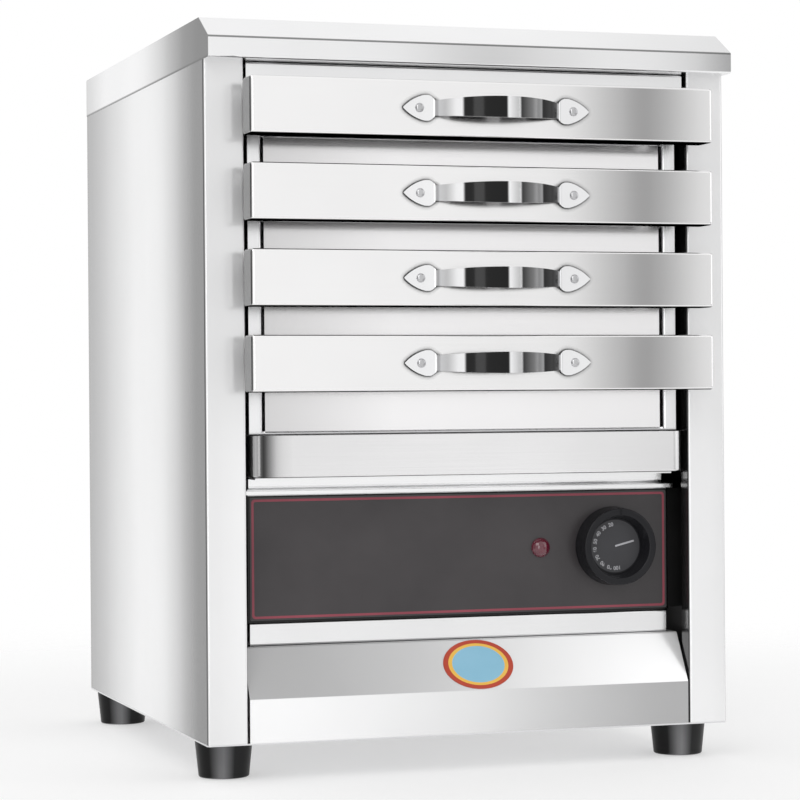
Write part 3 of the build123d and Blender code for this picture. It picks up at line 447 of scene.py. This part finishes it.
dial_ink = plastic("dial_ink", (0.34, 0.34, 0.36), (0.44, 0.44, 0.46), 0.40, 0.55, 600)
dial_face = plastic("dial_face", (0.026, 0.026, 0.030), (0.036, 0.036, 0.041), 0.34, 0.42, 420, 0.01)
pointer_ink = plastic("pointer_ink", (0.34, 0.34, 0.36), (0.46, 0.46, 0.48), 0.40, 0.55, 600)
badge_red = plastic("badge_red", (0.40, 0.035, 0.012), (0.50, 0.055, 0.020), 0.30, 0.40, 240, 0.01)
badge_yellow = plastic("badge_yellow", (0.76, 0.42, 0.05), (0.86, 0.52, 0.09), 0.30, 0.40, 240, 0.01)
badge_blue = plastic("badge_blue", (0.20, 0.45, 0.60), (0.28, 0.53, 0.68), 0.30, 0.40, 240, 0.01)
lamp_red = plastic(
    "lamp_lens", (0.05, 0.003, 0.010), (0.11, 0.008, 0.022), 0.08, 0.14, 90, 0.05, skin_depth, 1.0
)

finish_of = {
    "left_side_panel": left_steel,
    "right_side_panel": right_steel,
    "rear_panel": rear_steel,
    "rear_panel_screws": screw_steel,
    "base_plate": rear_steel,
    "top_cover": cover_steel,
    "rubber_feet": rubber,
    "foot_screws": screw_steel,
    "lower_apron": apron_steel,
    "lower_rail": front_steel,
    "control_panel": panel_steel,
    "panel_overlay": panel_film,
    "control_brackets": inner_steel,
    "drip_shelf": shelf_steel,
    "drip_tray": trough_steel,
    "lower_crossbar": divider_steel,
    "dividers": divider_steel,
    "header": front_steel,
    "chamber_left_wall": strip_steel,
    "chamber_right_wall": strip_steel,
    "chamber_rear_wall": tray_steel,
    "chamber_ceiling": tray_steel,
    "tray_rails": tray_steel,
    "water_tank": tray_steel,
    "tank_supports": inner_steel,
    "heating_element": sheath,
    "element_nuts": brass,
    "thermostat_body": switch_plastic,
    "thermostat_nut": screw_steel,
    "thermostat_bulb": copper,
    "thermostat_knob": knob_plastic,
    "thermostat_shaft": screw_steel,
    "lamp_lens": lamp_red,
    "lamp_body": switch_plastic,
    "drain_pipe": screw_steel,
    "drain_valve": brass,
    "valve_stem": screw_steel,
    "drain_lever": screw_steel,
    "lever_grip": grip_vinyl,
    "lever_nut": screw_steel,
    "cable_gland": gland_plastic,
    "gland_nut": gland_plastic,
    "terminal_block": switch_plastic,
    "round_badge": badge_red,
}
drawer_finish = {
    "front": drawer_steel, "tray": tray_steel, "handle": chrome, "rivets": rivet_chrome
}

for name, obj in nodes.items():
    if name.startswith("drawer_"):
        material = drawer_finish[name.rsplit("_", 1)[1]]
    else:
        material = finish_of[name]
    obj.data.materials.clear()
    obj.data.materials.append(material)


# ---- dressed details ----
def piece(name, mesh, material, body):
    """Adds a mesh object with its finish and lets it ride on a body."""
    obj = bpy.data.objects.new(name, mesh)
    bpy.context.scene.collection.objects.link(obj)
    mesh.materials.append(material)
    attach(obj, body)
    return obj


def prism(name, outer, inner, place, thick):
    """A flat band between two closed outlines, or a disc when inner is empty, with thickness."""
    bm = bmesh.new()
    loops = []
    for outline in [outer, inner]:
        if not outline:
            continue
        front = [bm.verts.new(place @ Vector((u, v, thick))) for u, v in outline]
        back = [bm.verts.new(place @ Vector((u, v, 0))) for u, v in outline]
        loops.append((front, back))
    count = len(outer)
    for front, back in loops:
        for i in range(count):
            j = (i + 1) % count
            bm.faces.new((front[i], front[j], back[j], back[i]))
    if inner:
        for side in (0, 1):
            a, b = loops[0][side], loops[1][side]
            for i in range(count):
                j = (i + 1) % count
                bm.faces.new((a[i], a[j], b[j], b[i]))
    else:
        bm.faces.new(loops[0][0])
        bm.faces.new(loops[0][1])
    bmesh.ops.recalc_face_normals(bm, faces=bm.faces)
    mesh = bpy.data.meshes.new(name)
    bm.to_mesh(mesh)
    bm.free()
    return mesh


def rounded_outline(half_u, half_v, radius, steps=6):
    """Corner-rounded rectangle about the origin."""
    points = []
    for k, (su, sv) in enumerate([(1, 1), (-1, 1), (-1, -1), (1, -1)]):
        for i in range(steps + 1):
            a = math.radians(90 * (k + i / steps))
            points.append(
                (
                    su * (half_u - radius) + radius * math.cos(a),
                    sv * (half_v - radius) + radius * math.sin(a),
                )
            )
    return points


def oval_outline(a, b, steps=72):
    """Ellipse about the origin."""
    return [
        (a * math.cos(2 * math.pi * i / steps), b * math.sin(2 * math.pi * i / steps))
        for i in range(steps)
    ]


def numeral(name, words, size, place, thick):
    """A number as a thin raised print, centred on its place."""
    curve = bpy.data.curves.new(name, "FONT")
    curve.body = words
    curve.size = size
    curve.align_x = "CENTER"
    curve.align_y = "CENTER"
    curve.extrude = thick
    curve.offset = mark_bold
    holder = bpy.data.objects.new(name, curve)
    mesh = bpy.data.meshes.new_from_object(holder)
    bpy.data.objects.remove(holder)
    bpy.data.curves.remove(curve)
    mesh.materials.clear()
    mesh.transform(place)
    return mesh


def facing_front(x, y, z):
    """Plane that looks to -Y: u is X, v is Z, thickness comes forward."""
    return Matrix.Translation((x, y, z)) @ Matrix(
        ((1, 0, 0, 0), (0, 0, -1, 0), (0, 1, 0, 0), (0, 0, 0, 1))
    )


# printed border line on the control panel
low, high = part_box("panel_overlay")
middle = facing_front((low[0] + high[0]) / 2, low[1], (low[2] + high[2]) / 2)
half_u = (high[0] - low[0]) / 2 - border_inset
half_v = (high[2] - low[2]) / 2 - border_inset
piece(
    "panel_border",
    prism(
        "panel_border",
        rounded_outline(half_u, half_v, border_round),
        rounded_outline(half_u - border_width, half_v - border_width, border_round - border_width / 2),
        middle,
        print_thick,
    ),
    border_ink,
    "cabinet",
)

# printed marks and pointer line on the knob's dished face
low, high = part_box("thermostat_knob")
knob_x = (low[0] + high[0]) / 2
knob_z = (low[2] + high[2]) / 2
dish_y = low[1] + dish_depth
face = prism(
    "dial_face",
    oval_outline(face_radius, face_radius),
    [],
    facing_front(knob_x, dish_y, knob_z),
    print_thick,
)
piece("dial_face", face, dial_face, "knob")
mark_step = (mark_last - mark_first) / (len(mark_values) - 1)
for i, value in enumerate(mark_values):
    angle = mark_first + i * mark_step
    print_y = dish_y - print_thick
    turn = facing_front(knob_x, print_y, knob_z) @ Matrix.Rotation(math.radians(angle - 90), 4, "Z")
    place = turn @ Matrix.Translation((0, mark_ring, 0))
    name = f"dial_number_{value}"
    piece(name, numeral(name, str(value), mark_size, place, print_thick), dial_ink, "knob")
turn = facing_front(knob_x, print_y, knob_z) @ Matrix.Rotation(math.radians(pointer_angle), 4, "Z")
pointer = prism(
    "dial_pointer",
    rounded_outline(pointer_length / 2, pointer_width / 2, pointer_width / 3, 3),
    [],
    turn @ Matrix.Translation((pointer_length / 2, 0, 0)),
    print_thick,
)
piece("dial_pointer", pointer, pointer_ink, "knob")

# rings printed on the oval badge
low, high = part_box("round_badge")
lean = math.atan2(slope_run, slope_height)
badge_front = (
    Matrix.Translation(((low[0] + high[0]) / 2, (low[1] + high[1]) / 2, (low[2] + high[2]) / 2))
    @ Matrix.Rotation(-lean, 4, "X")
    @ facing_front(0, 0, 0)
    @ Matrix.Translation((0, 0, badge_lift))
)
badge_a = (high[0] - low[0]) / 2 - badge_side_gap
badge_b = math.hypot(high[1] - low[1], high[2] - low[2]) / 2 - badge_end_gap
for i, ((outer, inner), ink) in enumerate(zip(badge_rings, (badge_red, badge_yellow, badge_blue))):
    ring = prism(
        f"badge_ring_{i + 1}",
        oval_outline(badge_a * outer, badge_b * outer),
        oval_outline(badge_a * inner, badge_b * inner) if inner else [],
        badge_front,
        print_thick,
    )
    piece(f"badge_ring_{i + 1}", ring, ink, "cabinet")


# ---- stage ----
def stage_world():
    """White to the camera; soft studio with darker bands for everything else."""
    world = bpy.data.worlds.new("studio")
    bpy.context.scene.world = world
    world.use_nodes = True
    tree = world.node_tree
    tree.nodes.clear()
    out = tree.nodes.new("ShaderNodeOutputWorld")
    mix = tree.nodes.new("ShaderNodeMixShader")
    path = tree.nodes.new("ShaderNodeLightPath")
    seen = tree.nodes.new("ShaderNodeBackground")
    seen.inputs["Color"].default_value = white
    lit = tree.nodes.new("ShaderNodeBackground")
    lit.inputs["Strength"].default_value = world_level
    coords = tree.nodes.new("ShaderNodeTexCoord")
    split = tree.nodes.new("ShaderNodeSeparateXYZ")
    ramp = tree.nodes.new("ShaderNodeValToRGB")
    stops = ramp.color_ramp.elements
    stops[0].position, stops[0].color = 0.0, world_left
    stops[1].position, stops[1].color = 1.0, world_right
    for place, level in world_tones:
        stop = stops.new(place)
        stop.color = (level, level, level, 1)
    shift = tree.nodes.new("ShaderNodeMapRange")
    shift.inputs["From Min"].default_value = -1
    shift.inputs["From Max"].default_value = 1
    tree.links.new(coords.outputs["Generated"], split.inputs["Vector"])
    tree.links.new(split.outputs["X"], shift.inputs["Value"])
    tree.links.new(shift.outputs["Result"], ramp.inputs["Fac"])
    tree.links.new(ramp.outputs["Color"], lit.inputs["Color"])
    tree.links.new(path.outputs["Is Camera Ray"], mix.inputs["Fac"])
    tree.links.new(lit.outputs["Background"], mix.inputs[1])
    tree.links.new(seen.outputs["Background"], mix.inputs[2])
    tree.links.new(mix.outputs["Shader"], out.inputs["Surface"])


def stage_floor():
    """White floor that takes the shadow and fades into the background."""
    bm = bmesh.new()
    bmesh.ops.create_circle(bm, cap_ends=True, radius=floor_radius, segments=64)
    mesh = bpy.data.meshes.new("floor")
    bm.to_mesh(mesh)
    bm.free()
    floor = bpy.data.objects.new("floor", mesh)
    floor.location = (0, 0, -floor_drop)
    bpy.context.scene.collection.objects.link(floor)
    mat = bpy.data.materials.new("floor_white")
    mat.use_nodes = True
    tree = mat.node_tree
    tree.nodes.clear()
    out = tree.nodes.new("ShaderNodeOutputMaterial")
    diffuse = tree.nodes.new("ShaderNodeBsdfDiffuse")
    diffuse.inputs["Color"].default_value = floor_tone
    glow = tree.nodes.new("ShaderNodeEmission")
    glow.inputs["Color"].default_value = white
    glow.inputs["Strength"].default_value = floor_glow
    add = tree.nodes.new("ShaderNodeAddShader")
    clear = tree.nodes.new("ShaderNodeBsdfTransparent")
    mix = tree.nodes.new("ShaderNodeMixShader")
    coords = tree.nodes.new("ShaderNodeTexCoord")
    reach = tree.nodes.new("ShaderNodeVectorMath")
    reach.operation = "LENGTH"
    fade = tree.nodes.new("ShaderNodeMapRange")
    fade.interpolation_type = "SMOOTHSTEP"
    fade.inputs["From Min"].default_value = fade_start
    fade.inputs["From Max"].default_value = fade_end
    tree.links.new(coords.outputs["Object"], reach.inputs[0])
    tree.links.new(reach.outputs["Value"], fade.inputs["Value"])
    tree.links.new(fade.outputs["Result"], mix.inputs["Fac"])
    tree.links.new(diffuse.outputs["BSDF"], add.inputs[0])
    tree.links.new(glow.outputs["Emission"], add.inputs[1])
    tree.links.new(add.outputs["Shader"], mix.inputs[1])
    tree.links.new(clear.outputs["BSDF"], mix.inputs[2])
    tree.links.new(mix.outputs["Shader"], out.inputs["Surface"])
    mesh.materials.append(mat)
    floor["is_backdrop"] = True


def area_light(name, place, target, size, power):
    """Soft box that looks at a point."""
    data = bpy.data.lights.new(name, "AREA")
    data.shape = "RECTANGLE"
    data.size, data.size_y = size
    data.energy = power
    obj = bpy.data.objects.new(name, data)
    obj.location = place
    obj.rotation_mode = "QUATERNION"
    obj.rotation_quaternion = (Vector(target) - Vector(place)).to_track_quat("-Z", "Y")
    bpy.context.scene.collection.objects.link(obj)
    obj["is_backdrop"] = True


def fitted_camera():
    """Camera from the fitted place, yaw, pitch and roll."""
    yaw, pitch, roll = (math.radians(v) for v in (camera_yaw, camera_pitch, camera_roll))
    right = Vector((math.cos(yaw), -math.sin(yaw), 0))
    look = Vector(
        (math.sin(yaw) * math.cos(pitch), math.cos(yaw) * math.cos(pitch), math.sin(pitch))
    )
    up = right.cross(look)
    side = right * math.cos(roll) + up * math.sin(roll)
    top = up * math.cos(roll) - right * math.sin(roll)
    data = bpy.data.cameras.new("camera")
    data.sensor_width = sensor_width
    data.lens = data.sensor_width * focal_pixels / frame_pixels
    data.clip_end = camera_reach
    obj = bpy.data.objects.new("camera", data)
    axes = Matrix((side, top, -look)).transposed().to_4x4()
    obj.matrix_world = Matrix.Translation(camera_place) @ axes
    bpy.context.scene.collection.objects.link(obj)
    bpy.context.scene.camera = obj


stage_world()
stage_floor()
for soft_box in soft_boxes:
    area_light(*soft_box)
fitted_camera()
bpy.context.scene.view_settings.view_transform = "Standard"

low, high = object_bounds()
